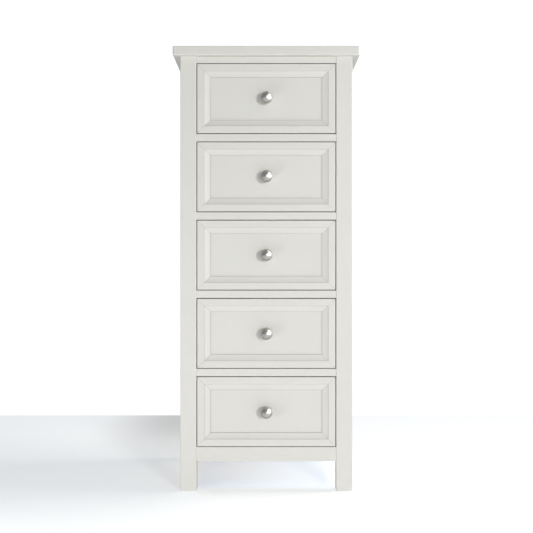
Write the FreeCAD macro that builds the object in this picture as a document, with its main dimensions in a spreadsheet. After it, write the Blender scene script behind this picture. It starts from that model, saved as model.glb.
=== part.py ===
import FreeCAD, Part
import math
import os
import re
import Sketcher

# Tall narrow chest of five drawers, painted frame, timber drawer boxes on wooden runners.
# Frame: +Z up, drawers open towards -Y, +X to the right of someone facing the chest.
# The origin is on the floor, under the middle of the overall box. Millimetres throughout.

doc = FreeCAD.newDocument("chest")
sheet = doc.addObject("Spreadsheet::Sheet", "Sizes")

DRIVING_SIZES = [
    # the whole chest
    ("overall_height", 1176), ("top_width", 494), ("top_depth", 400),
    # top board: thickness, how far it stands out from the carcass, roundings
    ("top_thickness", 25), ("side_overhang", 19), ("front_overhang", 15), ("back_overhang", 5),
    ("top_edge_radius", 3), ("top_corner_radius", 5),
    # legs, which are also the corner posts
    ("leg_width", 43), ("leg_depth", 45), ("leg_edge_radius", 2), ("foot_clearance", 79),
    # front rails, laid flat between the legs, and the two rails at the back
    ("rail_setback", 1), ("rail_depth", 60), ("rail_edge_radius", 1),
    ("top_rail_height", 17.5), ("divider_height", 20), ("bottom_rail_height", 38),
    ("back_rail_thickness", 18), ("top_back_rail_height", 60),
    ("tenon_length", 20), ("tenon_shoulder", 5), ("tenon_setback", 9),
    # side panels in grooves of the legs, back panel in rebates of the back legs
    ("side_inset", 8), ("side_thickness", 12), ("side_tongue", 8),
    ("back_panel_thickness", 6), ("back_rebate", 10),
    # runners: a ledge under each drawer side, and a guide beside it
    ("ledge_width", 16), ("ledge_height", 18), ("guide_rise", 12), ("guide_play", 0.8),
    ("runner_play", 0.3),
    # small blocks on the front rails that stop a closing drawer
    ("stop_width", 30), ("stop_length", 22), ("stop_height", 7), ("stop_gap", 0.2),
    ("stop_spread", 110),
    # drawer fronts: four mitred members round a flat panel
    ("drawer_count", 5), ("drawer_gap", 2), ("member_width", 35), ("member_thickness", 20),
    ("band_width", 18.5), ("quirk_depth", 1.2), ("quirk_width", 1.5), ("moulding_drop", 4.5),
    ("moulding_sag", 0.9), ("moulding_radius", 50), ("member_edge_radius", 1.2),
    ("panel_recess", 8), ("panel_thickness", 8), ("panel_play", 1), ("groove_depth", 6),
    # drawer boxes
    ("box_back_play", 6), ("box_thickness", 12), ("box_top_play", 8), ("bottom_thickness", 5),
    ("bottom_rise", 10), ("bottom_groove", 5), ("back_inset", 10), ("back_housing", 4),
    ("tail_count", 4), ("tail_length", 12), ("tail_tip", 30), ("tail_root", 24),
    ("stop_tongue_width", 60), ("stop_tongue_rise", 6),
    # round knob and the screw that holds it
    ("knob_radius", 16.25), ("knob_projection", 38), ("knob_foot_radius", 9),
    ("knob_foot_height", 2), ("knob_neck_radius", 6), ("knob_flare", 2.5),
    ("knob_screw_radius", 2), ("knob_screw_bite", 16), ("knob_head_radius", 4.2),
    ("knob_head_height", 2.6), ("knob_hole_play", 0.3), ("slot_width", 1), ("slot_length", 4.6),
    ("slot_depth", 1.4),
    # wood screws of the runners and the top, and the holes for fixing to a wall
    ("wood_screw_radius", 1.75), ("wood_head_radius", 3.6), ("wood_head_height", 2.6),
    ("wood_screw_point", 5), ("top_screw_bite", 15.5), ("runner_screw_bite", 8),
    ("screw_inset", 55), ("runner_screw_rise", 6.5),
    ("wall_hole_radius", 3), ("wall_hole_spread", 240), ("wall_hole_drop", 30),
]

WORKED_OUT_SIZES = [
    ("carcass_width", "top_width - 2 * side_overhang"),
    ("carcass_depth", "top_depth - front_overhang - back_overhang"),
    ("leg_height", "overall_height - top_thickness"),
    ("opening_width", "carcass_width - 2 * leg_width"),
    ("first_opening", "foot_clearance + bottom_rail_height"),
    ("last_opening_top", "leg_height - top_rail_height"),
    ("opening_height", "(last_opening_top - first_opening - (drawer_count - 1) * divider_height)"
                       " / drawer_count"),
    ("opening_pitch", "opening_height + divider_height"),
    ("front_plane", "(knob_projection - panel_recess - carcass_depth - back_overhang) / 2"),
    ("back_plane", "front_plane + carcass_depth"),
    ("rail_back", "front_plane + rail_setback + rail_depth"),
    ("panel_back_plane", "back_plane - back_panel_thickness"),
    ("inner_back", "panel_back_plane - back_rail_thickness"),
    ("side_inner", "carcass_width / 2 - side_inset - side_thickness"),
    ("front_width", "opening_width - 2 * drawer_gap"),
    ("front_height", "opening_height - 2 * drawer_gap"),
    ("guide_face", "front_width / 2 + guide_play"),
    ("tenon_width", "leg_depth - rail_setback - 2 * tenon_setback"),
    ("runner_screw_length", "side_inner - guide_face + runner_screw_bite"),
    ("top_screw_length", "top_rail_height + top_screw_bite"),
    ("knob_screw_length", "panel_thickness + knob_screw_bite"),
    ("box_length", "inner_back - front_plane - box_back_play"),
    ("box_height", "opening_height - runner_play - box_top_play"),
    ("box_inner_width", "front_width - 2 * box_thickness"),
    ("back_front", "front_plane + box_length - back_inset - box_thickness"),
]


def fill_sheet():
    """Put every size in the sheet, one row each, with its name beside it and as its alias."""
    row = 1
    for name, number in DRIVING_SIZES:
        sheet.set(f"A{row}", name)
        sheet.set(f"B{row}", str(number))
        sheet.setAlias(f"B{row}", name)
        row += 1
    for name, formula in WORKED_OUT_SIZES:
        sheet.set(f"A{row}", name)
        sheet.set(f"B{row}", "=" + formula)
        sheet.setAlias(f"B{row}", name)
        row += 1
    doc.recompute()


def from_sheet(formula):
    """The formula with every size's name pointed at the sheet."""
    return re.sub(r"[a-z_]+", r"Sizes.\g<0>", formula)


def place(item, corner, turn=None):
    """Set an item's turn, and bind its position to three formulas."""
    if turn is not None:
        item.Placement = FreeCAD.Placement(FreeCAD.Vector(), turn)
    for axis, formula in zip("xyz", corner):
        item.setExpression(f".Placement.Base.{axis}", from_sheet(formula))


def board(label, corner, size):
    """A squared board from its lowest corner, with its sizes along X, Y and Z."""
    item = doc.addObject("Part::Box", label)
    for side, formula in zip(("Length", "Width", "Height"), size):
        item.setExpression(side, from_sheet(formula))
    place(item, corner)
    return item


def rod(label, radius, length, corner, turn=None):
    """A cylinder along Z, turned and placed."""
    item = doc.addObject("Part::Cylinder", label)
    item.setExpression("Radius", from_sheet(radius))
    item.setExpression("Height", from_sheet(length))
    place(item, corner, turn)
    return item


def group(label, pieces):
    """Several solids kept as one item."""
    item = doc.addObject("Part::Compound", label)
    item.Links = pieces
    return item


def joined(label, pieces):
    """Several shapes glued into one solid."""
    item = doc.addObject("Part::MultiFuse", label)
    item.Shapes = pieces
    item.Refine = True
    return item


def housed(label, piece, mates):
    """The piece with room cut in it for the pieces that fit into it."""
    item = doc.addObject("Part::Cut", label)
    item.Base = piece
    item.Tool = mates[0] if len(mates) == 1 else group(label + "_mates", mates)
    return item


def mirrored(label, piece):
    """The same piece for the other side of the chest."""
    item = doc.addObject("Part::Mirroring", label)
    item.Source = piece
    item.Normal = FreeCAD.Vector(1, 0, 0)
    return item


def new_body(label):
    return doc.addObject("PartDesign::Body", label)


def new_sketch(body, role, name):
    """An empty sketch on one of the body's own origin planes."""
    sketch = body.newObject("Sketcher::SketchObject", name)
    plane = [item for item in body.Origin.OriginFeatures if item.Role == role][0]
    sketch.AttachmentSupport = [(plane, "")]
    sketch.MapMode = "FlatFace"
    return sketch


def add_outline(sketch, points):
    """A closed outline of straight lines whose corners are bound to formulas."""
    first = sketch.GeometryCount
    count = len(points)
    for i in range(count):  # loose lines at first, which the constraints then bring together
        start = FreeCAD.Vector(i, 0, 0)
        end = FreeCAD.Vector(i + 1, 1, 0)
        sketch.addGeometry(Part.LineSegment(start, end), False)
    for i in range(count):
        here = first + i
        after = first + (i + 1) % count
        sketch.addConstraint(Sketcher.Constraint("Coincident", here, 2, after, 1))
    for i, (across, up) in enumerate(points):
        for kind, formula in (("DistanceX", across), ("DistanceY", up)):
            index = sketch.addConstraint(Sketcher.Constraint(kind, -1, 1, first + i, 1, 1.0))
            sketch.setExpression(f"Constraints[{index}]", from_sheet(formula))


def pad(body, sketch, length, midplane=False, backwards=False):
    item = body.newObject("PartDesign::Pad", sketch.Name + "_pad")
    item.Profile = sketch
    item.setExpression("Length", from_sheet(length))
    item.Midplane = midplane
    item.Reversed = backwards
    sketch.Visibility = False
    return item


def corners(x_low, x_high, y_low, y_high):
    """The four corners of a rectangle."""
    return [(x_low, y_low), (x_high, y_low), (x_high, y_high), (x_low, y_high)]


def rounded(body, radius, wanted):
    """Round the edges of the body's solid so far for which wanted(edge) is true."""
    doc.recompute()
    solid = body.Tip
    names = [f"Edge{i}" for i, edge in enumerate(solid.Shape.Edges, 1) if wanted(edge)]
    item = body.newObject("PartDesign::Fillet", solid.Name + "_rounded")
    item.Base = (solid, names)
    item.setExpression("Radius", from_sheet(radius))
    return item


def along(edge, axis):
    """True for a straight edge that runs along the axis (0, 1 or 2 for X, Y or Z)."""
    if len(edge.Vertexes) != 2:
        return False
    span = edge.Vertexes[1].Point - edge.Vertexes[0].Point
    return abs(abs(span[axis]) - span.Length) < 1e-6 and span.Length > 1e-6


fill_sheet()
DRAWERS = int(sheet.drawer_count)
TO_BACK = FreeCAD.Rotation(FreeCAD.Vector(1, 0, 0), -90)
TO_FRONT = FreeCAD.Rotation(FreeCAD.Vector(1, 0, 0), 90)
HALF_TURN = FreeCAD.Rotation(FreeCAD.Vector(0, 0, 1), 180)
TO_LEFT = FreeCAD.Rotation(FreeCAD.Vector(0, 1, 0), -90)


def level_of(number):
    """Height of the bottom of a drawer's opening. Drawer 1 is the top one."""
    return f"first_opening + {DRAWERS - number} * opening_pitch"


# ---- top board ----

def top_board(label):
    """A slab with rounded corners and softened edges."""
    body = new_body(label)
    sketch = new_sketch(body, "XY_Plane", "top_outline")
    add_outline(sketch, corners("-top_width / 2", "top_width / 2", "0", "top_depth"))
    pad(body, sketch, "top_thickness")
    rounded(body, "top_corner_radius", lambda edge: along(edge, 2))
    rounded(body, "top_edge_radius", lambda edge: not along(edge, 2))
    place(body, ("0", "front_plane - front_overhang", "leg_height"))
    return body


# ---- rails, tenoned into the legs ----

def rail(label, front, low, depth, height, tenon_front, tenon_depth):
    """A rail between two legs, with a tenon at each end, from its front lower edge."""
    body = new_body(label)
    section = new_sketch(body, "YZ_Plane", label + "_section")
    add_outline(section, corners("0", depth, "0", height))
    pad(body, section, "opening_width", midplane=True)
    rounded(body, "rail_edge_radius", lambda edge: along(edge, 0) and edge.CenterOfMass.y < 1e-6)
    tenon = new_sketch(body, "YZ_Plane", label + "_tenon")
    add_outline(tenon, corners(tenon_front, f"{tenon_front} + {tenon_depth}",
                               "tenon_shoulder", f"{height} - tenon_shoulder"))
    pad(body, tenon, "opening_width + 2 * tenon_length", midplane=True)
    place(body, ("0", front, low))
    return body


def front_rail(label, low, height):
    return rail(label, "front_plane + rail_setback", low, "rail_depth", height,
                "tenon_setback", "tenon_width")


def back_rail(label, low, height):
    return rail(label, "inner_back", low, "back_rail_thickness", height,
                "tenon_shoulder", "back_rail_thickness - 2 * tenon_shoulder")


def wall_holes(label):
    """Two holes along Y through the top back rail and the back panel."""
    holes = []
    for side in ("-", ""):
        hole = rod(f"{label}_{len(holes)}", "wall_hole_radius", "2 * back_rail_thickness",
                   (f"{side}wall_hole_spread / 2", "inner_back - back_panel_thickness",
                    "leg_height - wall_hole_drop"), TO_BACK)
        holes.append(hole)
    return holes


# ---- legs ----

def leg(label, front):
    """A left leg blank: a square post with softened edges."""
    body = new_body(label)
    sketch = new_sketch(body, "XY_Plane", label + "_section")
    add_outline(sketch, corners("0", "leg_width", "0", "leg_depth"))
    pad(body, sketch, "leg_height")
    rounded(body, "leg_edge_radius",
            lambda edge: along(edge, 2) or edge.CenterOfMass.z < 1e-6)
    place(body, ("-carcass_width / 2", front, "0"))
    return body


# ---- panels ----

def side_panel(label):
    return board(label, ("-carcass_width / 2 + side_inset",
                         "front_plane + leg_depth - side_tongue", "foot_clearance"),
                 ("side_thickness", "carcass_depth - 2 * leg_depth + 2 * side_tongue",
                  "leg_height - foot_clearance"))


def back_panel(label):
    return board(label, ("-opening_width / 2 - back_rebate", "panel_back_plane",
                         "foot_clearance"),
                 ("opening_width + 2 * back_rebate", "back_panel_thickness",
                  "leg_height - foot_clearance"))


# ---- runners, with the screws that hold them ----

def wood_screw(label, length, corner, turn=None):
    """A countersunk wood screw. Its point is up before it is turned, and its head is flush."""
    head = doc.addObject("Part::Cone", label + "_head")
    head.setExpression("Radius1", from_sheet("wood_head_radius"))
    head.setExpression("Radius2", from_sheet("wood_screw_radius"))
    head.setExpression("Height", from_sheet("wood_head_height"))
    shank = doc.addObject("Part::Cylinder", label + "_shank")
    shank.setExpression("Radius", from_sheet("wood_screw_radius"))
    shank.setExpression("Height", from_sheet(f"{length} - wood_screw_point"))
    point = doc.addObject("Part::Cone", label + "_point")
    point.setExpression("Radius1", from_sheet("wood_screw_radius"))
    point.Radius2 = 0
    point.setExpression("Height", from_sheet("wood_screw_point"))
    point.setExpression(".Placement.Base.z", from_sheet(f"{length} - wood_screw_point"))
    screw = joined(label, [head, shank, point])
    place(screw, corner, turn)
    return screw


def runner(label, level):
    """A left runner: a ledge that the drawer side slides on, and the guide beside it."""
    ledge = board(label + "_ledge", ("-opening_width / 2", "rail_back", f"{level} - ledge_height"),
                  ("ledge_width", "inner_back - rail_back", "ledge_height"))
    guide = board(label + "_guide", ("-side_inner", "rail_back", f"{level} - ledge_height"),
                  ("side_inner - guide_face", "back_plane - leg_depth - rail_back",
                   "ledge_height + guide_rise"))
    return joined(label, [ledge, guide])


def kicker(label):
    """The strip over the top drawer's side, which also carries the top."""
    return board(label, ("-side_inner", "rail_back", "last_opening_top"),
                 ("side_inner - opening_width / 2 + ledge_width",
                  "back_plane - leg_depth - rail_back", "top_rail_height"))


def left_screws():
    """Two screws in each runner, outwards, and two in the kicker, upwards."""
    found = []
    for number in range(1, DRAWERS + 1):
        for end, depth in enumerate(("rail_back + screw_inset", "inner_back - 2 * screw_inset")):
            found.append(wood_screw(
                f"runner_screw_{number}_{end}", "runner_screw_length",
                ("-guide_face", depth, f"{level_of(number)} + runner_screw_rise"), TO_LEFT))
    for end, depth in enumerate(("rail_back + screw_inset", "inner_back - 2 * screw_inset")):
        found.append(wood_screw(f"top_screw_{end}", "top_screw_length",
                                ("-opening_width / 2", depth, "last_opening_top")))
    return found


# ---- drawer stops ----

def drawer_stops():
    """Two blocks on the rail under each drawer, just behind the closed drawer front."""
    blocks = []
    for number in range(1, DRAWERS + 1):
        for side, offset in (("left", "-stop_spread - stop_width"), ("right", "stop_spread")):
            blocks.append(board(
                f"stop_{number}_{side}",
                (offset, "front_plane + member_thickness + stop_gap", level_of(number)),
                ("stop_width", "stop_length", "stop_height")))
    return group("drawer_stops", blocks)


# ---- drawer fronts ----

def front_member(label, length, corner, angle):
    """A mitred moulded member along X, its outer edge down, then turned about Y."""
    body = new_body(label)
    section = new_sketch(body, "YZ_Plane", label + "_section")
    slope_end = "member_width - quirk_width"
    add_outline(section, [
        ("0", "0"), ("0", "band_width"), ("quirk_depth", "band_width"),
        ("quirk_depth + moulding_drop / 2 + moulding_sag", f"(band_width + {slope_end}) / 2"),
        ("quirk_depth + moulding_drop", slope_end),
        ("quirk_depth + moulding_drop", "member_width"), ("panel_recess", "member_width"),
        ("panel_recess", "member_width - groove_depth"),
        ("panel_recess + panel_thickness", "member_width - groove_depth"),
        ("panel_recess + panel_thickness", "member_width"),
        ("member_thickness", "member_width"), ("member_thickness", "0"),
    ])
    pad(body, section, length, midplane=True)
    rounded(body, "member_edge_radius",
            lambda edge: along(edge, 0) and edge.CenterOfMass.Length < 1e-6)
    cove = (sheet.band_width + sheet.member_width - sheet.quirk_width) / 2
    rounded(body, "moulding_radius",
            lambda edge: along(edge, 0) and abs(edge.CenterOfMass.z - cove) < 1e-6)
    mitres = new_sketch(body, "XZ_Plane", label + "_mitres")
    for side in ("-", ""):
        end = f"{side}({length}) / 2"
        add_outline(mitres, [(end, "0"), (end, "member_width"),
                             (f"{side}(({length}) / 2 - member_width)", "member_width")])
    cut = body.newObject("PartDesign::Pocket", label + "_mitre_cut")
    cut.Profile = mitres
    cut.Type = "ThroughAll"
    cut.Midplane = True
    place(body, corner, FreeCAD.Rotation(FreeCAD.Vector(0, 1, 0), angle))
    return body


def front_members(name, level):
    """The two rails and two stiles of a drawer front."""
    low = f"{level} + drawer_gap"
    middle = f"{level} + opening_height / 2"
    return [
        front_member(name + "_lower_member", "front_width", ("0", "front_plane", low), 0),
        front_member(name + "_upper_member", "front_width",
                     ("0", "front_plane", f"{low} + front_height"), 180),
        front_member(name + "_left_member", "front_height",
                     ("-front_width / 2", "front_plane", middle), 90),
        front_member(name + "_right_member", "front_height",
                     ("front_width / 2", "front_plane", middle), -90),
    ]


def front_panel(label, level, hole):
    """The flat panel, held in the members' grooves, with the knob's hole."""
    edge = "member_width - groove_depth + panel_play"
    blank = board(label + "_blank",
                  (f"-front_width / 2 + {edge}", "front_plane + panel_recess",
                   f"{level} + drawer_gap + {edge}"),
                  (f"front_width - 2 * ({edge})", "panel_thickness",
                   f"front_height - 2 * ({edge})"))
    return housed(label, blank, [hole])


# ---- drawer boxes ----

def box_side(label, level):
    """The left side: a board whose front end is a row of dovetails."""
    body = new_body(label)
    sketch = new_sketch(body, "YZ_Plane", label + "_outline")
    root = "member_thickness"
    tip = "member_thickness - tail_length"
    outline = [(root, "0"), ("box_length", "0"), ("box_length", "box_height"),
               (root, "box_height")]
    for tail in reversed(range(int(sheet.tail_count))):
        middle = f"box_height * (2 * {tail} + 1) / (2 * tail_count)"
        outline += [(root, f"{middle} + tail_root / 2"), (tip, f"{middle} + tail_tip / 2"),
                    (tip, f"{middle} - tail_tip / 2"), (root, f"{middle} - tail_root / 2")]
    add_outline(sketch, outline)
    pad(body, sketch, "box_thickness")
    place(body, ("-front_width / 2", "front_plane", f"{level} + runner_play"))
    return body


def box_bottom(label, level):
    """The thin bottom, in grooves of the front and the sides, and under the back."""
    return board(label, ("-box_inner_width / 2 - bottom_groove",
                         "front_plane + member_thickness - groove_depth",
                         f"{level} + runner_play + bottom_rise"),
                 ("box_inner_width + 2 * bottom_groove",
                  "box_length - member_thickness + groove_depth - back_inset",
                  "bottom_thickness"))


def box_back(label, level):
    """The back, housed in the sides. Its middle rises behind the rail above, as a stop."""
    body = new_body(label)
    sketch = new_sketch(body, "XZ_Plane", label + "_outline")
    half = "box_inner_width / 2 + back_housing"
    low = "bottom_rise + bottom_thickness"
    high = "opening_height + stop_tongue_rise - runner_play"
    add_outline(sketch, [
        (f"-({half})", low), (half, low), (half, "box_height"),
        ("stop_tongue_width / 2", "box_height"), ("stop_tongue_width / 2", high),
        ("-stop_tongue_width / 2", high), ("-stop_tongue_width / 2", "box_height"),
        (f"-({half})", "box_height"),
    ])
    pad(body, sketch, "box_thickness", backwards=True)
    place(body, ("0", "back_front", f"{level} + runner_play"))
    return body


# ---- knob and its screw ----

def knob_blank(label, middle):
    """A ball on a short neck with a flared foot, turned about the knob's axis."""
    body = new_body(label)
    sketch = new_sketch(body, "XY_Plane", label + "_outline")
    foot = sheet.knob_foot_radius
    foot_top = sheet.knob_foot_height
    neck = sheet.knob_neck_radius
    flare = sheet.knob_flare
    ball = sheet.knob_radius
    centre = sheet.knob_projection - ball
    neck_top = centre - (ball ** 2 - neck ** 2) ** 0.5
    spots = [FreeCAD.Vector(x, y, 0) for x, y in (
        (0, 0), (foot, 0), (foot, foot_top), (neck + flare, foot_top),
        (neck, foot_top + flare), (neck, neck_top), (0, sheet.knob_projection))]
    hollow = Part.Circle(FreeCAD.Vector(neck + flare, foot_top + flare, 0),
                         FreeCAD.Vector(0, 0, 1), flare)
    sphere = Part.Circle(FreeCAD.Vector(0, centre, 0), FreeCAD.Vector(0, 0, 1), ball)
    sketch.addGeometry([
        Part.LineSegment(spots[0], spots[1]),
        Part.LineSegment(spots[1], spots[2]),
        Part.LineSegment(spots[2], spots[3]),
        Part.ArcOfCircle(hollow, hollow.parameter(spots[4]), hollow.parameter(spots[3])),
        Part.LineSegment(spots[4], spots[5]),
        Part.ArcOfCircle(sphere, sphere.parameter(spots[5]) - 2 * math.pi,
                         sphere.parameter(spots[6])),
        Part.LineSegment(spots[6], spots[0]),
    ], False)
    for rule in (
        ("Coincident", 0, 1, -1, 1), ("Coincident", 0, 2, 1, 1), ("Coincident", 1, 2, 2, 1),
        ("Tangent", 2, 2, 3, 2), ("Tangent", 3, 1, 4, 1), ("Coincident", 4, 2, 5, 1),
        ("Coincident", 5, 2, 6, 1), ("Coincident", 6, 2, -1, 1),
        ("Horizontal", 0), ("Vertical", 1), ("Horizontal", 2), ("Vertical", 4),
        ("Vertical", 6), ("PointOnObject", 5, 3, -2),
    ):
        sketch.addConstraint(Sketcher.Constraint(*rule))
    for rule, formula in (
        (("DistanceX", -1, 1, 1, 1, foot), "knob_foot_radius"),
        (("DistanceY", -1, 1, 1, 2, foot_top), "knob_foot_height"),
        (("DistanceX", -1, 1, 4, 1, neck), "knob_neck_radius"),
        (("Radius", 3, flare), "knob_flare"),
        (("Radius", 5, ball), "knob_radius"),
        (("DistanceY", -1, 1, 5, 3, centre), "knob_projection - knob_radius"),
    ):
        index = sketch.addConstraint(Sketcher.Constraint(*rule))
        sketch.setExpression(f"Constraints[{index}]", from_sheet(formula))
    turned = body.newObject("PartDesign::Revolution", label + "_turned")
    turned.Profile = sketch
    turned.ReferenceAxis = (sketch, ["V_Axis"])
    turned.Angle = 360
    place(body, ("0", "front_plane + panel_recess", middle), HALF_TURN)
    return body


def knob_screw(label, middle):
    """A machine screw from inside the drawer, its head against the panel's back."""
    seat = "front_plane + panel_recess + panel_thickness"
    shank = rod(label + "_shank", "knob_screw_radius", "knob_screw_length",
                ("0", seat, middle), TO_FRONT)
    head = rod(label + "_head", "knob_head_radius", "knob_head_height",
               ("0", seat, middle), TO_BACK)
    slot_start = f"{seat} + knob_head_height - slot_depth"
    flat_slot = board(label + "_flat_slot",
                      ("-slot_length / 2", slot_start, f"{middle} - slot_width / 2"),
                      ("slot_length", "2 * slot_depth", "slot_width"))
    upright_slot = board(label + "_upright_slot",
                         ("-slot_width / 2", slot_start, f"{middle} - slot_length / 2"),
                         ("slot_width", "2 * slot_depth", "slot_length"))
    return housed(label, joined(label + "_blank", [shank, head]), [flat_slot, upright_slot])


# ---- assembly ----

def build_carcass():
    """Everything that stands still: frame, panels, top, runners, stops and screws."""
    top_rail = front_rail("top_front_rail", "last_opening_top", "top_rail_height")
    dividers = [front_rail(f"divider_rail_{number}", f"{level_of(number)} - divider_height",
                           "divider_height") for number in range(1, DRAWERS)]
    bottom_rail = front_rail("bottom_front_rail", "foot_clearance", "bottom_rail_height")
    front_rails = [top_rail, *dividers, bottom_rail]
    top_back_rail = back_rail("top_back_rail_blank", "leg_height - top_back_rail_height",
                              "top_back_rail_height")
    bottom_back_rail = back_rail("bottom_back_rail", "foot_clearance", "bottom_rail_height")

    left_group = group("left_screws", left_screws())
    screws = group("carcass_screws", [left_group, mirrored("right_screws", left_group)])
    side_blank = side_panel("side_blank")
    left_side = housed("left_side_panel", side_blank, [left_group])
    back_blank = back_panel("back_blank")
    runners = [runner(f"runner_{number}", level_of(number)) for number in range(1, DRAWERS + 1)]
    left_runners = housed("left_runners", group("left_strips", [*runners, kicker("kicker")]),
                          [left_group])
    front_leg = housed("front_left_leg", leg("front_leg_blank", "front_plane"),
                       [*front_rails, side_blank])
    back_leg = housed("back_left_leg", leg("back_leg_blank", "back_plane - leg_depth"),
                      [top_back_rail, bottom_back_rail, side_blank, back_blank])
    return [
        housed("top_panel", top_board("top_blank"), [screws]),
        front_leg, mirrored("front_right_leg", front_leg),
        back_leg, mirrored("back_right_leg", back_leg),
        left_side, mirrored("right_side_panel", left_side),
        housed("back_panel", back_blank, wall_holes("panel_hole")),
        *front_rails,
        housed("top_back_rail", top_back_rail, wall_holes("rail_hole")), bottom_back_rail,
        left_runners, mirrored("right_runners", left_runners),
        drawer_stops(), screws,
    ]


def build_drawer(number):
    """One drawer: mitred front and panel, box, knob and the knob's screw."""
    name = f"drawer_{number}"
    level = level_of(number)
    middle = f"{level} + opening_height / 2"
    bottom = box_bottom(f"{name}_bottom", level)
    back = box_back(f"{name}_back", level)
    left_side = housed(f"{name}_left_side", box_side(f"{name}_side_blank", level),
                       [bottom, back])
    right_side = mirrored(f"{name}_right_side", left_side)
    frame = housed(f"{name}_front_frame", group(f"{name}_members", front_members(name, level)),
                   [left_side, right_side, bottom])
    hole = rod(f"{name}_knob_hole", "knob_screw_radius + knob_hole_play",
               "2 * member_thickness", ("0", "front_plane", middle), TO_BACK)
    screw = knob_screw(f"{name}_knob_screw", middle)
    knob = housed(f"{name}_knob", knob_blank(f"{name}_knob_blank", middle), [screw])
    return [frame, front_panel(f"{name}_front_panel", level, hole), left_side, right_side,
            back, bottom, knob, screw]


def check(pieces):
    """Stop before anything is written if any feature failed or any piece is no solid."""
    faults = [item.Label for item in doc.Objects
              if "Invalid" in item.State or "Error" in item.State]
    for piece in pieces:
        shape = piece.Shape
        if shape.isNull() or not shape.isValid() or not shape.Solids:
            faults.append(piece.Label)
    if faults:
        raise RuntimeError("failed: " + ", ".join(faults))


pieces = build_carcass()
for drawer_number in range(1, DRAWERS + 1):
    pieces += build_drawer(drawer_number)
doc.recompute()
check(pieces)
os.makedirs("parts", exist_ok=True)
for piece in pieces:
    piece.Shape.exportStep(f"parts/{piece.Label}.step")
print(len(pieces), "pieces,", sum(len(piece.Shape.Solids) for piece in pieces), "solids")
print("drawer travel up to", sheet.back_front - sheet.rail_back)
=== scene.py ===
import math

import bmesh
import bpy
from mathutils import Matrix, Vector


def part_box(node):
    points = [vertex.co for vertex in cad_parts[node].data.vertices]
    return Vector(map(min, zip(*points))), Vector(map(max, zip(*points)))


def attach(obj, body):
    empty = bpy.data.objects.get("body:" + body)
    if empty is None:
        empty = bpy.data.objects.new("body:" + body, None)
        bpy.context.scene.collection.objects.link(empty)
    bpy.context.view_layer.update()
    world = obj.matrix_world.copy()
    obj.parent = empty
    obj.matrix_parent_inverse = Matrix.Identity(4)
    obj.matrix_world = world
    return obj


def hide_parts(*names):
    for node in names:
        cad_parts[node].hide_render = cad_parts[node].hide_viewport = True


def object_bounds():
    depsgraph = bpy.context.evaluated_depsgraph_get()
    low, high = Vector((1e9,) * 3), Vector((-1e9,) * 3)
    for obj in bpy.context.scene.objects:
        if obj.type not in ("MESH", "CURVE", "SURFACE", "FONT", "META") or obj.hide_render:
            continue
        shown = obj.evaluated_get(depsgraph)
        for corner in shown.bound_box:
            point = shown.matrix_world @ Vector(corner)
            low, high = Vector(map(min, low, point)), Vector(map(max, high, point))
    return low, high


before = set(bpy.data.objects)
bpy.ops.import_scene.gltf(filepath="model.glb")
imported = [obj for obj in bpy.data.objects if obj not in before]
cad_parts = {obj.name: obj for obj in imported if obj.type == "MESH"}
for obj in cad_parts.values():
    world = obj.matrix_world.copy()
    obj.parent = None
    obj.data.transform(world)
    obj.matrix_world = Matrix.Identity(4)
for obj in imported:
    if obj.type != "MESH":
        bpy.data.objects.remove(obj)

cad_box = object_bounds()


# ---- legs ----
# The four corner posts are planed pine, sprayed with primer and then with a satin grey-white
# lacquer. They are sprayed with the carcass put together, so the inside stays bare pine, with a
# soft line where the spray ran out.

def from_hex(colour):
    """An sRGB hex colour as the linear red, green, blue and alpha of a shader socket."""
    shares = [int(colour[i:i + 2], 16) / 255 for i in (1, 3, 5)]
    return [*(s / 12.92 if s <= 0.04045 else ((s + 0.055) / 1.055) ** 2.4 for s in shares), 1.0]


def mm(size):
    return size / 1000


def per_mm(size):
    """The scale of a noise whose marks are about that many millimetres across."""
    return 1 / mm(size)


def add(tree, kind, inputs, **settings):
    """Adds a node with its settings, and gives its first output. An input is a value or a link."""
    node = tree.nodes.new(kind)
    for name, value in settings.items():
        setattr(node, name, value)
    sockets = [socket for socket in node.inputs if socket.enabled]
    for name, value in inputs.items():
        place = name if isinstance(name, int) else [s.name for s in sockets].index(name)
        if isinstance(value, bpy.types.NodeSocket):
            tree.links.new(value, sockets[place])
        else:
            sockets[place].default_value = value
    return next((socket for socket in node.outputs if socket.enabled), None)


def new_material(name):
    """A material with no nodes but the Object coordinates that its patterns start from."""
    made = bpy.data.materials.new(name)
    made.use_nodes = True
    made.node_tree.nodes.clear()
    here = add(made.node_tree, "ShaderNodeTexCoord", {}).node.outputs["Object"]
    return made, made.node_tree, here


def give(material, *names):
    """Puts one material all over each of these CAD pieces."""
    for name in names:
        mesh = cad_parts[name].data
        mesh.materials.clear()
        mesh.materials.append(material)


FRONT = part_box("front_left_leg")[0].y
LEG_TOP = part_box("front_left_leg")[1].z
RAIL_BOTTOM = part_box("bottom_front_rail")[0].z
SIDE_INNER_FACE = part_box("right_side_panel")[0].x
BACK_INNER_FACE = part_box("back_panel")[0].y
LOWEST_FRONT, LOWEST_FRONT_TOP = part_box("drawer_5_front_frame")
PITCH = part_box("drawer_4_front_frame")[0].z - LOWEST_FRONT.z
SPRAYED_TO = mm(36)      # how far behind the front the lacquer reaches
SPRAY_FADE = mm(7)
MIST = 4                 # millimetres from one blot to the next where the spray ran out

WAVE = math.pi / 10      # the scale at which Blender's wave repeats once a metre
MARGIN = mm(0.5)         # what keeps the edge of a mask off the faces themselves

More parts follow.
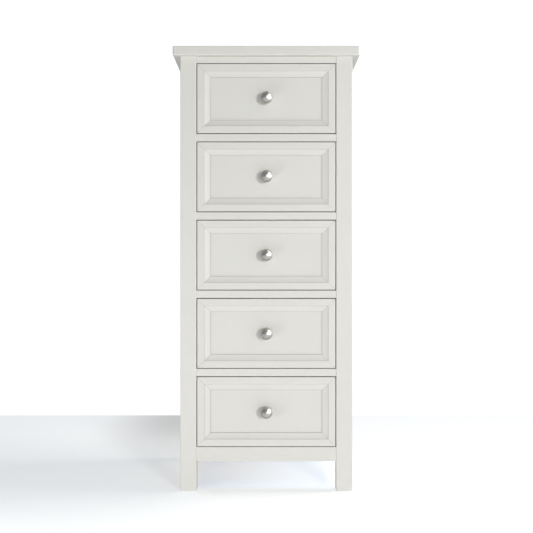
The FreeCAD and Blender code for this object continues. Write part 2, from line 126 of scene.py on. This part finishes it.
PINE_PALE = "#dcc59d"
PINE_LATE = "#c39b63"
RING_WIDTH = 10          # millimetres, several real rings in one, to show from across a room
RING_FIBRE = 1.3         # millimetres across the grain
RING_STRETCH = 0.08      # how much of their shape the rings keep along the grain
LATE_WOOD = 2.6          # the higher, the narrower the dark part of each ring
PITH_TILT = (0.25, 0.2, 0.3)
PITH = (mm(70), mm(60), mm(30))
APART_IN_LOG = (mm(60), mm(400), mm(60))
BELOW_FRONT = mm(5)      # what a drawer's runners reach down past its front


def board_shift(tree, here):
    """The Object coordinates moved by a different amount for each level and side of the chest."""
    x, _, z = add(tree, "ShaderNodeSeparateXYZ", {0: here}).node.outputs
    raised = add(tree, "ShaderNodeMath", {0: z, 1: LOWEST_FRONT.z - BELOW_FRONT},
                 operation="SUBTRACT")
    levels = add(tree, "ShaderNodeMath", {0: raised, 1: PITCH}, operation="DIVIDE")
    level = add(tree, "ShaderNodeMath", {0: levels}, operation="FLOOR")
    right = add(tree, "ShaderNodeMath", {0: x, 1: 0.0}, operation="GREATER_THAN")
    board = add(tree, "ShaderNodeMath", {0: level, 1: 2.0, 2: right}, operation="MULTIPLY_ADD")
    chance = add(tree, "ShaderNodeTexWhiteNoise", {"W": board},
                 noise_dimensions="1D").node.outputs["Color"]
    return add(tree, "ShaderNodeVectorMath", {0: chance, 1: APART_IN_LOG, 2: here},
               operation="MULTIPLY_ADD")


def pine_figure(tree, here, grain):
    """The colour and the relief of planed pine whose grain runs along the X, Y or Z axis."""
    drawn_out = [RING_STRETCH if axis == grain else 1.0 for axis in "XYZ"]
    pith = add(tree, "ShaderNodeMapping", {
        "Vector": board_shift(tree, here), "Scale": drawn_out,
        "Rotation": PITH_TILT, "Location": PITH})
    rings = add(tree, "ShaderNodeTexWave", {
        "Vector": pith, "Scale": WAVE * per_mm(RING_WIDTH), "Distortion": 16.0,
        "Detail": 3.0, "Detail Scale": 0.7, "Detail Roughness": 0.4},
        wave_type="RINGS", rings_direction=grain, wave_profile="SAW").node.outputs["Fac"]
    late = add(tree, "ShaderNodeMath", {0: rings, 1: LATE_WOOD}, operation="POWER")
    fibre = add(tree, "ShaderNodeTexNoise", {"Vector": pith, "Scale": per_mm(RING_FIBRE),
                                             "Detail": 5.0})
    fibre = add(tree, "ShaderNodeMapRange", {"Value": fibre, "From Min": 0.3, "From Max": 0.7,
                                             "To Min": 0.5, "To Max": 1.0})
    streaked = add(tree, "ShaderNodeMath", {0: late, 1: fibre}, operation="MULTIPLY")
    colour = add(tree, "ShaderNodeMix", {
        "Factor": streaked, "A": from_hex(PINE_PALE), "B": from_hex(PINE_LATE)}, data_type="RGBA")
    return colour, streaked


def inside_carcass(tree, here, sprayed_to):
    """1 in the space that the spray didn't reach, fading to 0 over its soft edge."""
    x, y, z = add(tree, "ShaderNodeSeparateXYZ", {0: here}).node.outputs
    off_middle = add(tree, "ShaderNodeMath", {0: x}, operation="ABSOLUTE")
    between_sides = add(tree, "ShaderNodeMath", {0: off_middle, 1: SIDE_INNER_FACE + MARGIN},
                        operation="LESS_THAN")
    mist = add(tree, "ShaderNodeTexNoise", {"Vector": here, "Scale": per_mm(MIST), "Detail": 4.0})
    edge = FRONT + sprayed_to
    reached = add(tree, "ShaderNodeMath", {0: mist, 1: -SPRAY_FADE, 2: y}, operation="MULTIPLY_ADD")
    behind = add(tree, "ShaderNodeMapRange", {"Value": reached, "From Min": edge - SPRAY_FADE,
                                              "From Max": edge})
    before = add(tree, "ShaderNodeMath", {0: y, 1: BACK_INNER_FACE + MARGIN},
                 operation="LESS_THAN")
    above = add(tree, "ShaderNodeMath", {0: z, 1: RAIL_BOTTOM + MARGIN},
                operation="GREATER_THAN")
    below = add(tree, "ShaderNodeMath", {0: z, 1: LEG_TOP - MARGIN}, operation="LESS_THAN")
    mask = between_sides
    for share in (behind, before, above, below):
        mask = add(tree, "ShaderNodeMath", {0: mask, 1: share}, operation="MULTIPLY")
    return mask


LACQUER = "#d4d3cd"
LACQUER_DENSE = "#d1cfc9"
JOINT_AND_QUIRK_SHADE = "#8f8d88"     # dark of an opened mitre joint, and the painted shade in the quirks
CLOUD = 120              # millimetres from a denser pass of the spray to the next
PEEL = 2.4               # millimetres from one dimple of the sprayed film to the next
FIBRE = 2.6              # millimetres across the grain, coarser than real pine so that it shows
FIBRE_STRETCH = 0.04
BARE_ROUGHNESS = 0.7


def lacquered_pine(name, grain, sprayed_to=SPRAYED_TO, joined=None):
    """Satin lacquer sprayed on pine: an even, dense colour with a broad soft shine, a faint orange
    peel, and the grain of the wood as shallow lines under the film. What is joined from several
    members turns the grain and gives a mask of the joints and of painted shade in the quirks."""
    made, tree, here = new_material(name)
    drawn_out = [FIBRE_STRETCH if axis == grain else 1.0 for axis in "XYZ"]
    along = add(tree, "ShaderNodeMapping", {"Vector": here, "Scale": drawn_out})
    cloud = add(tree, "ShaderNodeTexNoise", {"Vector": here, "Scale": per_mm(CLOUD),
                                             "Detail": 2.0})
    film = add(tree, "ShaderNodeMix", {"Factor": cloud, "A": from_hex(LACQUER),
                                       "B": from_hex(LACQUER_DENSE)}, data_type="RGBA")
    if joined:
        # painted shade: the quirks are darkened towards the joint colour, with the dark hairlines
        # of the mitres
        along, joints_and_painted_shade = joined(tree, here, along)
        film = add(tree, "ShaderNodeMix", {"Factor": joints_and_painted_shade, "A": film,
                                           "B": from_hex(JOINT_AND_QUIRK_SHADE)}, data_type="RGBA")
    fibre = add(tree, "ShaderNodeTexNoise", {"Vector": along, "Scale": per_mm(FIBRE),
                                             "Detail": 4.0})
    peel = add(tree, "ShaderNodeTexNoise", {"Vector": here, "Scale": per_mm(PEEL), "Detail": 1.0})
    bare = inside_carcass(tree, here, sprayed_to)
    pine, _ = pine_figure(tree, here, grain)
    colour = add(tree, "ShaderNodeMix", {"Factor": bare, "A": film, "B": pine}, data_type="RGBA")
    shine = add(tree, "ShaderNodeMapRange", {"Value": cloud, "To Min": 0.50, "To Max": 0.58})
    rough = add(tree, "ShaderNodeMix", {"Factor": bare, "A": shine, "B": BARE_ROUGHNESS})
    relief = add(tree, "ShaderNodeBump", {"Height": fibre, "Strength": 0.10,
                                          "Distance": mm(0.15)})
    relief = add(tree, "ShaderNodeBump", {"Height": peel, "Strength": 0.08,
                                          "Distance": mm(0.2), "Normal": relief})
    shader = add(tree, "ShaderNodeBsdfPrincipled", {
        "Base Color": colour, "Roughness": rough, "Normal": relief, "IOR": 1.48})
    add(tree, "ShaderNodeOutputMaterial", {"Surface": shader})
    return made


upright_lacquer = lacquered_pine("satin_lacquer_on_upright_pine", "Z")
give(upright_lacquer, "front_left_leg", "front_right_leg", "back_left_leg", "back_right_leg")


# ---- rails and panels of the carcass ----
# The front rails are pine laid flat, tenoned into the legs and sprayed with them. The side panels
# are boards with upright grain in grooves of the legs.

level_lacquer = lacquered_pine("satin_lacquer_on_level_pine", "X")
give(level_lacquer, "top_front_rail", "bottom_front_rail",
     "divider_rail_1", "divider_rail_2", "divider_rail_3", "divider_rail_4")
give(upright_lacquer, "left_side_panel", "right_side_panel")


# ---- back panel and back rails ----
# The back panel is thin birch plywood, sealed but not painted. Its edges show the plies. The two
# rails behind it are planed pine, left bare.

BIRCH_PALE = "#dfc79c"
BIRCH_DARK = "#cfae7b"
CROSS_PLY = "#b08d5c"
FIGURE = 70              # millimetres from one band of the peeled veneer's figure to the next
VENEER_FLECK = 3         # millimetres across the grain, coarser than real so that it shows
VENEER_STRETCH = 0.12
PLY = 1 / 5              # of the thickness


def birch_plywood(name, grain, across, lower_face, thickness, repeat=0.0):
    """Five-ply birch: a pale face with the wide wandering figure of peeled veneer, and darker
    cross plies in the edges. Across is the axis of its thickness, from its lower face. Depth is
    counted from one thickness below that face, so that the modulo of a repeat stays positive."""
    made, tree, here = new_material(name)
    spot = dict(zip("XYZ", add(tree, "ShaderNodeSeparateXYZ", {0: here}).node.outputs))
    depth = add(tree, "ShaderNodeMath", {0: spot[across], 1: lower_face - thickness},
                operation="SUBTRACT")
    if repeat:
        depth = add(tree, "ShaderNodeMath", {0: depth, 1: repeat}, operation="MODULO")
    share = add(tree, "ShaderNodeMath", {0: depth, 1: thickness}, operation="DIVIDE")
    from_middle = add(tree, "ShaderNodeMath", {0: share, 1: 1.5}, operation="SUBTRACT")
    from_middle = add(tree, "ShaderNodeMath", {0: from_middle}, operation="ABSOLUTE")
    cross_ply = add(tree, "ShaderNodeMath", {0: from_middle, 1: PLY, 2: PLY / 2},
                    operation="COMPARE")
    drawn_out = [VENEER_STRETCH if axis == grain else 1.0 for axis in "XYZ"]
    sheet = board_shift(tree, here) if repeat else here
    along = add(tree, "ShaderNodeMapping", {"Vector": sheet, "Scale": drawn_out})
    figure = add(tree, "ShaderNodeTexWave", {
        "Vector": along, "Scale": WAVE * per_mm(FIGURE), "Distortion": 9.0,
        "Detail": 3.0, "Detail Scale": 1.2},
        bands_direction="X" if grain != "X" else "Y").node.outputs["Fac"]
    fleck = add(tree, "ShaderNodeTexNoise", {"Vector": along, "Scale": per_mm(VENEER_FLECK),
                                             "Detail": 5.0})
    fleck = add(tree, "ShaderNodeMapRange", {"Value": fleck, "From Min": 0.35,
                                             "From Max": 0.65})
    tone = add(tree, "ShaderNodeMath", {0: figure, 1: fleck}, operation="MULTIPLY")
    face = add(tree, "ShaderNodeMix", {"Factor": tone, "A": from_hex(BIRCH_PALE),
                                       "B": from_hex(BIRCH_DARK)}, data_type="RGBA")
    colour = add(tree, "ShaderNodeMix", {"Factor": cross_ply, "A": face,
                                         "B": from_hex(CROSS_PLY)}, data_type="RGBA")
    relief = add(tree, "ShaderNodeBump", {"Height": fleck, "Strength": 0.15,
                                          "Distance": mm(0.2)})
    shader = add(tree, "ShaderNodeBsdfPrincipled", {
        "Base Color": colour, "Roughness": 0.5, "Normal": relief, "IOR": 1.5})
    add(tree, "ShaderNodeOutputMaterial", {"Surface": shader})
    return made


def planed_pine(name, grain):
    """Pine planed and sanded, and left bare: pale wood with honey-coloured rings and a dry, matt
    surface that the late wood stands a little proud of."""
    made, tree, here = new_material(name)
    colour, rings = pine_figure(tree, here, grain)
    relief = add(tree, "ShaderNodeBump", {"Height": rings, "Strength": 0.2, "Distance": mm(0.2)})
    shader = add(tree, "ShaderNodeBsdfPrincipled", {
        "Base Color": colour, "Roughness": 0.62, "Normal": relief, "IOR": 1.5})
    add(tree, "ShaderNodeOutputMaterial", {"Surface": shader})
    return made


back_low, back_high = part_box("back_panel")
give(birch_plywood("sealed_birch_plywood_back", "Z", "Y", back_low.y, back_high.y - back_low.y),
     "back_panel")
level_pine = planed_pine("planed_pine_level", "X")
give(level_pine, "top_back_rail", "bottom_back_rail")


# ---- runners, kickers and stops ----
# Hard beech strips that the drawers slide on, glued and screwed to the sides, and small beech
# blocks on the front rails that stop a closing drawer. The ledges are rubbed with wax.

BEECH = "#d0a87c"
BEECH_DARK = "#bb8f62"
BEECH_RAY = "#9c7048"
BEECH_BAND = 14          # millimetres from a darker band to the next
RAY = 0.7                # millimetres across the grain
BEECH_STRETCH = 0.1


def waxed_beech(name):
    """Beech rubbed with wax: an even pinkish brown with short dark flecks along the grain, and a
    dull shine."""
    made, tree, here = new_material(name)
    along = add(tree, "ShaderNodeMapping", {"Vector": board_shift(tree, here),
                                            "Scale": (1.0, BEECH_STRETCH, 1.0)})
    band = add(tree, "ShaderNodeTexNoise", {"Vector": along, "Scale": per_mm(BEECH_BAND),
                                            "Detail": 3.0})
    fleck = add(tree, "ShaderNodeTexNoise", {"Vector": along, "Scale": per_mm(RAY),
                                             "Detail": 2.0})
    fleck = add(tree, "ShaderNodeMapRange", {"Value": fleck, "From Min": 0.6, "From Max": 0.68})
    wood = add(tree, "ShaderNodeMix", {"Factor": band, "A": from_hex(BEECH),
                                       "B": from_hex(BEECH_DARK)}, data_type="RGBA")
    colour = add(tree, "ShaderNodeMix", {"Factor": fleck, "A": wood, "B": from_hex(BEECH_RAY)},
                 data_type="RGBA")
    shine = add(tree, "ShaderNodeMapRange", {"Value": band, "To Min": 0.36, "To Max": 0.5})
    relief = add(tree, "ShaderNodeBump", {"Height": fleck, "Strength": 0.15,
                                          "Distance": mm(0.1)}, invert=True)
    shader = add(tree, "ShaderNodeBsdfPrincipled", {
        "Base Color": colour, "Roughness": shine, "Normal": relief, "IOR": 1.45})
    add(tree, "ShaderNodeOutputMaterial", {"Surface": shader})
    return made


give(waxed_beech("waxed_beech"), "left_runners", "right_runners", "drawer_stops")


# ---- screws of the carcass ----
# Countersunk steel screws, plated with bright zinc. They go through the runners into the side
# panels, and up through the kickers into the top.

ZINC = "#c3c7cb"
ZINC_STAINED = "#b5b6ab"
STAIN = 3                # millimetres from one stain to the next


def zinc_plated(name):
    """Steel with thin bright zinc over it: a cool, slightly milky metal with faint stains."""
    made, tree, here = new_material(name)
    stain = add(tree, "ShaderNodeTexNoise", {"Vector": here, "Scale": per_mm(STAIN),
                                             "Detail": 4.0})
    colour = add(tree, "ShaderNodeMix", {"Factor": stain, "A": from_hex(ZINC),
                                         "B": from_hex(ZINC_STAINED)}, data_type="RGBA")
    shine = add(tree, "ShaderNodeMapRange", {"Value": stain, "To Min": 0.22, "To Max": 0.42})
    relief = add(tree, "ShaderNodeBump", {"Height": stain, "Strength": 0.1,
                                          "Distance": mm(0.05)})
    shader = add(tree, "ShaderNodeBsdfPrincipled", {
        "Base Color": colour, "Metallic": 1.0, "Roughness": shine, "Normal": relief})
    add(tree, "ShaderNodeOutputMaterial", {"Surface": shader})
    return made


zinc = zinc_plated("zinc_plated_steel")
give(zinc, "carcass_screws")


# ---- top ----
# A slab of pine glued up from long boards, rounded along its edges and sprayed all over. It lies
# on the legs and stands out past them, held from below by screws.

give(lacquered_pine("satin_lacquer_on_the_top", "X"), "top_panel")


# ---- drawer fronts ----
# Each front is four moulded pine members, mitred round a flat panel and sprayed on the outside.
# The mitres have opened by a hair, shown as dark hairlines, and painted shade darkens the lacquer
# in the two quirks of the moulding.

DRAWERS = range(1, 6)
HALF_WIDTH = LOWEST_FRONT_TOP.x
HALF_HEIGHT = (LOWEST_FRONT_TOP.z - LOWEST_FRONT.z) / 2
MEMBER = mm(35)
BAND = mm(18.5)          # the flat outer band, from the edge to the first quirk
HAIRLINE = mm(0.3)
QUIRK = mm(0.8)
# how dark the painted shade in the quirks is
QUIRK_SHADE = 0.5
BACK_OF_FRAME = mm(19)
BACK_OF_PANEL = mm(15)


def mitred(tree, here, along):
    """The grain along whichever member this is, and a mask of the hairlines at the mitres and of
    the painted shade in the two quirks, beside the band and at the panel."""
    x, _, z = add(tree, "ShaderNodeSeparateXYZ", {0: here}).node.outputs
    across = add(tree, "ShaderNodeMath", {0: x}, operation="ABSOLUTE")
    in_level = add(tree, "ShaderNodeMath", {0: z, 1: LOWEST_FRONT.z + PITCH,
                                            2: LOWEST_FRONT.z}, operation="WRAP")
    up = add(tree, "ShaderNodeMath", {0: in_level, 1: LOWEST_FRONT.z + HALF_HEIGHT},
             operation="SUBTRACT")
    up = add(tree, "ShaderNodeMath", {0: up}, operation="ABSOLUTE")
    beside = add(tree, "ShaderNodeMath", {0: across, 1: up}, operation="SUBTRACT")
    past = add(tree, "ShaderNodeMath", {0: beside, 1: HALF_WIDTH - HALF_HEIGHT},
               operation="SUBTRACT")
    on_upright = add(tree, "ShaderNodeMath", {0: past, 1: 0.0}, operation="GREATER_THAN")
    upright = add(tree, "ShaderNodeMapping", {"Vector": here, "Scale": (1.0, 1.0, FIBRE_STRETCH)})
    turned = add(tree, "ShaderNodeMix", {"Factor": on_upright, "A": along, "B": upright},
                 data_type="VECTOR")
    off_mitre = add(tree, "ShaderNodeMath", {0: past}, operation="ABSOLUTE")
    hairline = add(tree, "ShaderNodeMath", {0: off_mitre, 1: HAIRLINE}, operation="LESS_THAN")
    from_end = add(tree, "ShaderNodeMath", {0: HALF_WIDTH, 1: across}, operation="SUBTRACT")
    from_edge = add(tree, "ShaderNodeMath", {0: HALF_HEIGHT, 1: up}, operation="SUBTRACT")
    inwards = add(tree, "ShaderNodeMath", {0: from_end, 1: from_edge}, operation="MINIMUM")
    at_panel = add(tree, "ShaderNodeMath", {0: inwards, 1: MEMBER - QUIRK},
                   operation="GREATER_THAN")
    at_band = add(tree, "ShaderNodeMath", {0: inwards, 1: BAND + QUIRK / 2, 2: QUIRK / 2},
                  operation="COMPARE")
    # painted shade in the quirks, darkening the lacquer's colour
    painted_quirk_shade = add(tree, "ShaderNodeMath", {0: at_panel, 1: at_band}, operation="MAXIMUM")
    painted_quirk_shade = add(tree, "ShaderNodeMath", {0: painted_quirk_shade, 1: QUIRK_SHADE}, operation="MULTIPLY")
    joints_and_painted_shade = add(tree, "ShaderNodeMath", {0: hairline, 1: painted_quirk_shade}, operation="MAXIMUM")
    return turned, joints_and_painted_shade


mitred_lacquer = lacquered_pine("satin_lacquer_on_mitred_pine", "X", BACK_OF_FRAME, mitred)
panel_lacquer = lacquered_pine("satin_lacquer_on_the_panel", "X", BACK_OF_PANEL)
for number in DRAWERS:
    give(mitred_lacquer, f"drawer_{number}_front_frame")
    give(panel_lacquer, f"drawer_{number}_front_panel")


# ---- drawer boxes ----
# Sides and back are planed pine. The sides are dovetailed into the front, and the back stands in
# housings. The bottom is thin birch plywood in grooves.

lengthwise_pine = planed_pine("planed_pine_lengthwise", "Y")
bottom_low, bottom_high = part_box("drawer_5_bottom")
bottom_plywood = birch_plywood("sealed_birch_plywood_bottom", "X", "Z", bottom_low.z,
                               bottom_high.z - bottom_low.z, PITCH)
for number in DRAWERS:
    give(lengthwise_pine, f"drawer_{number}_left_side", f"drawer_{number}_right_side")
    give(level_pine, f"drawer_{number}_back")
    give(bottom_plywood, f"drawer_{number}_bottom")


# ---- knobs and their screws ----
# Each knob is brass turned on a lathe, with a ball, a short neck and a flared foot, then plated
# with nickel and brushed to a satin. A slotted machine screw holds it from inside.

BALL_RADIUS = mm(16.25)
FOOT_RADIUS = mm(9)
FOOT_HEIGHT = mm(2)
SOFTENED = mm(0.4)       # the edge of the foot
NECK_RADIUS = mm(6)
FLARE = mm(2.5)
TURNS = 96               # steps round the knob
ARC_STEPS = 26           # steps along the ball's outline
FLARE_STEPS = 6
SMOOTH_UP_TO = 35        # degrees between faces
TOOL_LINE = 0.9          # millimetres between turning lines, coarser than real so that they show
HAZE = 6                 # millimetres from one cloud in the plating to the next
NICKEL = "#afada8"
NICKEL_BRIGHT = "#b6b4af"


def turned_knob(name, node):
    """Draws half the outline out from the tip with spins and extrusions, then turns it round. An
    attribute keeps how far each point lies from the tip along the outline, for the tool's lines."""
    low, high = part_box(node)
    middle = (low.z + high.z) / 2
    ball_centre = Vector((0, low.y + BALL_RADIUS, middle))
    work = bmesh.new()
    turning = work.verts.layers.float.new("turning")
    tip = work.verts.new((0, low.y, middle))
    reach = math.pi - math.asin(NECK_RADIUS / BALL_RADIUS)
    arc = bmesh.ops.spin(work, geom=[tip], cent=ball_centre, axis=(1, 0, 0), angle=-reach,
                         steps=ARC_STEPS)
    end = next(item for item in arc["geom_last"] if isinstance(item, bmesh.types.BMVert))
    foot_top = high.y - FOOT_HEIGHT
    neck = bmesh.ops.extrude_vert_indiv(work, verts=[end])["verts"][0]
    neck.co = (0, foot_top - FLARE, middle + NECK_RADIUS)
    flare_centre = (0, foot_top - FLARE, middle + NECK_RADIUS + FLARE)
    arc = bmesh.ops.spin(work, geom=[neck], cent=flare_centre, axis=(1, 0, 0),
                         angle=math.pi / 2, steps=FLARE_STEPS)
    end = next(item for item in arc["geom_last"] if isinstance(item, bmesh.types.BMVert))
    for depth, radius in ((foot_top, FOOT_RADIUS - SOFTENED), (foot_top + SOFTENED, FOOT_RADIUS),
                          (high.y, FOOT_RADIUS), (high.y, 0.0)):
        end = bmesh.ops.extrude_vert_indiv(work, verts=[end])["verts"][0]
        end.co = (0, depth, middle + radius)
    from_tip, last = 0.0, tip.co.copy()
    for vert in work.verts:
        from_tip += (vert.co - last).length
        vert[turning], last = from_tip, vert.co.copy()
    bmesh.ops.spin(work, geom=work.verts[:] + work.edges[:], cent=(0, 0, middle), axis=(0, 1, 0),
                   angle=2 * math.pi, steps=TURNS, use_merge=True)
    bmesh.ops.remove_doubles(work, verts=work.verts[:], dist=mm(0.01))
    bmesh.ops.recalc_face_normals(work, faces=work.faces[:])
    mesh = bpy.data.meshes.new(name)
    work.to_mesh(mesh)
    work.free()
    mesh.shade_smooth()
    mesh.set_sharp_from_angle(angle=math.radians(SMOOTH_UP_TO))
    made = bpy.data.objects.new(name, mesh)
    bpy.context.scene.collection.objects.link(made)
    return made


def satin_nickel(name):
    """Nickel plate brushed on the lathe: a soft grey metal whose highlight is drawn out a little
    across the fine turning lines."""
    made, tree, here = new_material(name)
    turning = add(tree, "ShaderNodeAttribute", {}, attribute_name="turning").node.outputs["Fac"]
    lines = add(tree, "ShaderNodeTexNoise", {"W": turning, "Scale": per_mm(TOOL_LINE),
                                             "Detail": 3.0},
                noise_dimensions="1D")
    haze = add(tree, "ShaderNodeTexNoise", {"Vector": here, "Scale": per_mm(HAZE),
                                            "Detail": 3.0})
    colour = add(tree, "ShaderNodeMix", {"Factor": haze, "A": from_hex(NICKEL),
                                         "B": from_hex(NICKEL_BRIGHT)}, data_type="RGBA")
    shine = add(tree, "ShaderNodeMapRange", {"Value": lines, "To Min": 0.31, "To Max": 0.4})
    relief = add(tree, "ShaderNodeBump", {"Height": lines, "Strength": 0.08,
                                          "Distance": mm(0.05)})
    shader = add(tree, "ShaderNodeBsdfPrincipled", {
        "Base Color": colour, "Metallic": 1.0, "Roughness": shine, "Normal": relief})
    add(tree, "ShaderNodeOutputMaterial", {"Surface": shader})
    return made


nickel = satin_nickel("brushed_satin_nickel")
for number in DRAWERS:
    knob = turned_knob(f"turned_knob_{number}", f"drawer_{number}_knob")
    knob.data.materials.append(nickel)
    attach(knob, f"drawer_{number}")
    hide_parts(f"drawer_{number}_knob")
    give(zinc, f"drawer_{number}_knob_screw")


# ---- floor, light and camera ----
# A plain pale floor in a white room that glows a little by its own emission, with no lamp under it.
# Painted light makes it glow more under the chest, more so to the right, and a painted shadow makes
# it glow less behind the chest on the left. The light is soft and comes from the right.

FLOOR_REACH = 4.0        # metres, to the front and the sides
FLOOR_BEHIND = 1.10      # metres behind the front of the chest
ACRYLIC = "#ededed"
GLOW = 0.40
GLOW_TINT = "#f6fbff"
UNDER_PAINTED_LIGHT = 0.24             # painted light: how much more the floor glows under the chest
UNDER_PAINTED_LIGHT_TINT = "#d2e7ff"
UNDER_FADE = mm(60)
UNDER_PAINTED_LIGHT_SHARES = (0.0, 1.75)  # of that painted light, at the left and the right of the chest
PAINTED_SHADOW = 0.30               # painted shadow: how much less the floor glows behind the chest on the left, at most
PAINTED_SHADOW_MIDDLE = (-0.30, FRONT + 1.0, 0)
PAINTED_SHADOW_REACH = (0.38, 0.8, 1.0)


def flat_sheet(name, corner, far_corner):
    """A level rectangle at height 0, as one face."""
    work = bmesh.new()
    bmesh.ops.create_grid(work, x_segments=1, y_segments=1, size=0.5)
    span = far_corner - corner
    bmesh.ops.scale(work, vec=(span.x, span.y, 1), verts=work.verts)
    bmesh.ops.translate(work, vec=(corner + far_corner) / 2, verts=work.verts)
    mesh = bpy.data.meshes.new(name)
    work.to_mesh(mesh)
    work.free()
    made = bpy.data.objects.new(name, mesh)
    bpy.context.scene.collection.objects.link(made)
    return made


def within(tree, distance, half):
    """1 well inside a half width, fading to 0 at its end."""
    return add(tree, "ShaderNodeMapRange", {
        "Value": distance, "From Min": half - UNDER_FADE, "From Max": half,
        "To Min": 1.0, "To Max": 0.0}, interpolation_type="SMOOTHSTEP")


def glowing_acrylic(name):
    """Opal acrylic that glows by its own emission: matt white with an even, slightly blue glow.
    Painted light makes it glow more and bluer under the chest, where the chest keeps the room's
    light off it, and a painted shadow makes it glow less behind the chest on the left."""
    made, tree, here = new_material(name)
    back_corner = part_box("back_right_leg")[1]
    half_x, half_y = back_corner.x, (back_corner.y - FRONT) / 2
    off_middle = add(tree, "ShaderNodeVectorMath", {0: here, 1: (0, FRONT + half_y, 0)},
                     operation="SUBTRACT")
    off_middle = add(tree, "ShaderNodeVectorMath", {0: off_middle}, operation="ABSOLUTE")
    x, y, _ = add(tree, "ShaderNodeSeparateXYZ", {0: off_middle}).node.outputs
    shaded = add(tree, "ShaderNodeMath", {0: within(tree, x, half_x), 1: within(tree, y, half_y)},
                 operation="MULTIPLY")
    across = add(tree, "ShaderNodeSeparateXYZ", {0: here})
    slant = add(tree, "ShaderNodeMapRange", {
        "Value": across, "From Min": -half_x, "From Max": half_x,
        "To Min": UNDER_PAINTED_LIGHT_SHARES[0], "To Max": UNDER_PAINTED_LIGHT_SHARES[1]})
    # painted light under the chest, stronger towards the right
    under = add(tree, "ShaderNodeMath", {0: shaded, 1: slant}, operation="MULTIPLY")
    tint = add(tree, "ShaderNodeMix", {"Factor": shaded, "A": from_hex(GLOW_TINT),
                                       "B": from_hex(UNDER_PAINTED_LIGHT_TINT)}, data_type="RGBA")
    level = add(tree, "ShaderNodeMath", {0: under, 1: UNDER_PAINTED_LIGHT, 2: GLOW}, operation="MULTIPLY_ADD")
    # painted shadow behind the chest on the left
    off_painted_shadow = add(tree, "ShaderNodeVectorMath", {0: here, 1: PAINTED_SHADOW_MIDDLE}, operation="SUBTRACT")
    off_painted_shadow = add(tree, "ShaderNodeVectorMath", {0: off_painted_shadow, 1: PAINTED_SHADOW_REACH}, operation="DIVIDE")
    off_painted_shadow = add(tree, "ShaderNodeVectorMath", {0: off_painted_shadow}, operation="LENGTH")
    painted_shadow = add(tree, "ShaderNodeMapRange", {"Value": off_painted_shadow, "From Min": 0.1, "To Min": PAINTED_SHADOW,
                                              "To Max": 0.0}, interpolation_type="SMOOTHSTEP")
    level = add(tree, "ShaderNodeMath", {0: level, 1: painted_shadow}, operation="SUBTRACT")
    matt = add(tree, "ShaderNodeBsdfDiffuse", {"Color": from_hex(ACRYLIC)})
    glow = add(tree, "ShaderNodeEmission", {"Color": tint, "Strength": level})
    lit = add(tree, "ShaderNodeAddShader", {0: matt, 1: glow})
    add(tree, "ShaderNodeOutputMaterial", {"Surface": lit})
    return made


floor = flat_sheet("floor", Vector((-FLOOR_REACH, FRONT - FLOOR_REACH, 0)),
                   Vector((FLOOR_REACH, FRONT + FLOOR_BEHIND, 0)))
floor.data.materials.append(glowing_acrylic("glowing_white_acrylic"))

ROOM_TINT = (1.0, 1.03, 1.06, 1.0)
ROOM_LIGHT = 0.345       # what the room gives the chest
ROOM_SEEN = 1.1          # how bright the room itself looks

world = bpy.data.worlds.new("white_room")
world.use_nodes = True
around = world.node_tree
around.nodes.clear()
seen = add(around, "ShaderNodeLightPath", {})
brightness = add(around, "ShaderNodeMapRange", {"Value": seen, "To Min": ROOM_LIGHT,
                                                "To Max": ROOM_SEEN})
room = add(around, "ShaderNodeBackground", {"Color": ROOM_TINT, "Strength": brightness})
add(around, "ShaderNodeOutputWorld", {"Surface": room})
bpy.context.scene.world = world

WARM = (1.0, 0.985, 0.96)
PLAIN = (1.0, 1.0, 1.0)
HALF_UP = cad_box[1].z / 2


def softbox(name, towards, distance, size, watts, colour):
    """A round soft light at a distance from the chest, facing it, and not seen itself."""
    lamp = bpy.data.lights.new(name, "AREA")
    lamp.shape = "DISK"
    lamp.size = size
    lamp.energy = watts
    lamp.color = colour
    made = bpy.data.objects.new(name, lamp)
    made.location = Vector((0, FRONT, HALF_UP)) + Vector(towards).normalized() * distance
    made.rotation_euler = Vector(towards).to_track_quat("Z", "Y").to_euler()
    made.visible_camera = False
    bpy.context.scene.collection.objects.link(made)
    return made


softbox("key", (0.38, -0.92, 0.08), distance=4.5, size=0.7, watts=84, colour=WARM)
softbox("side", (0.60, 0.12, 0.79), distance=2.4, size=1.0, watts=29, colour=WARM)
card = softbox("card", (0.885, -0.345, 0.30), distance=1.6, size=1.6, watts=58, colour=PLAIN)
card.visible_diffuse = False
fill = softbox("fill", (-0.9, -0.8, -0.44), distance=1.22, size=0.36, watts=2.1, colour=PLAIN)
fill.visible_glossy = False

LENS = 54.865            # millimetres, on a sensor 36 wide
EYE_ASIDE = mm(0.5)
EYE_DISTANCE = 2.15      # metres from the front of the chest
EYE_HEIGHT = 0.595

eye = bpy.data.cameras.new("eye")
eye.sensor_width = 36
eye.lens = LENS
camera = bpy.data.objects.new("eye", eye)
camera.location = (EYE_ASIDE, FRONT - EYE_DISTANCE, EYE_HEIGHT)
camera.rotation_euler = (math.pi / 2, 0, 0)
bpy.context.scene.collection.objects.link(camera)
bpy.context.scene.camera = camera
bpy.context.scene.view_settings.view_transform = "Standard"
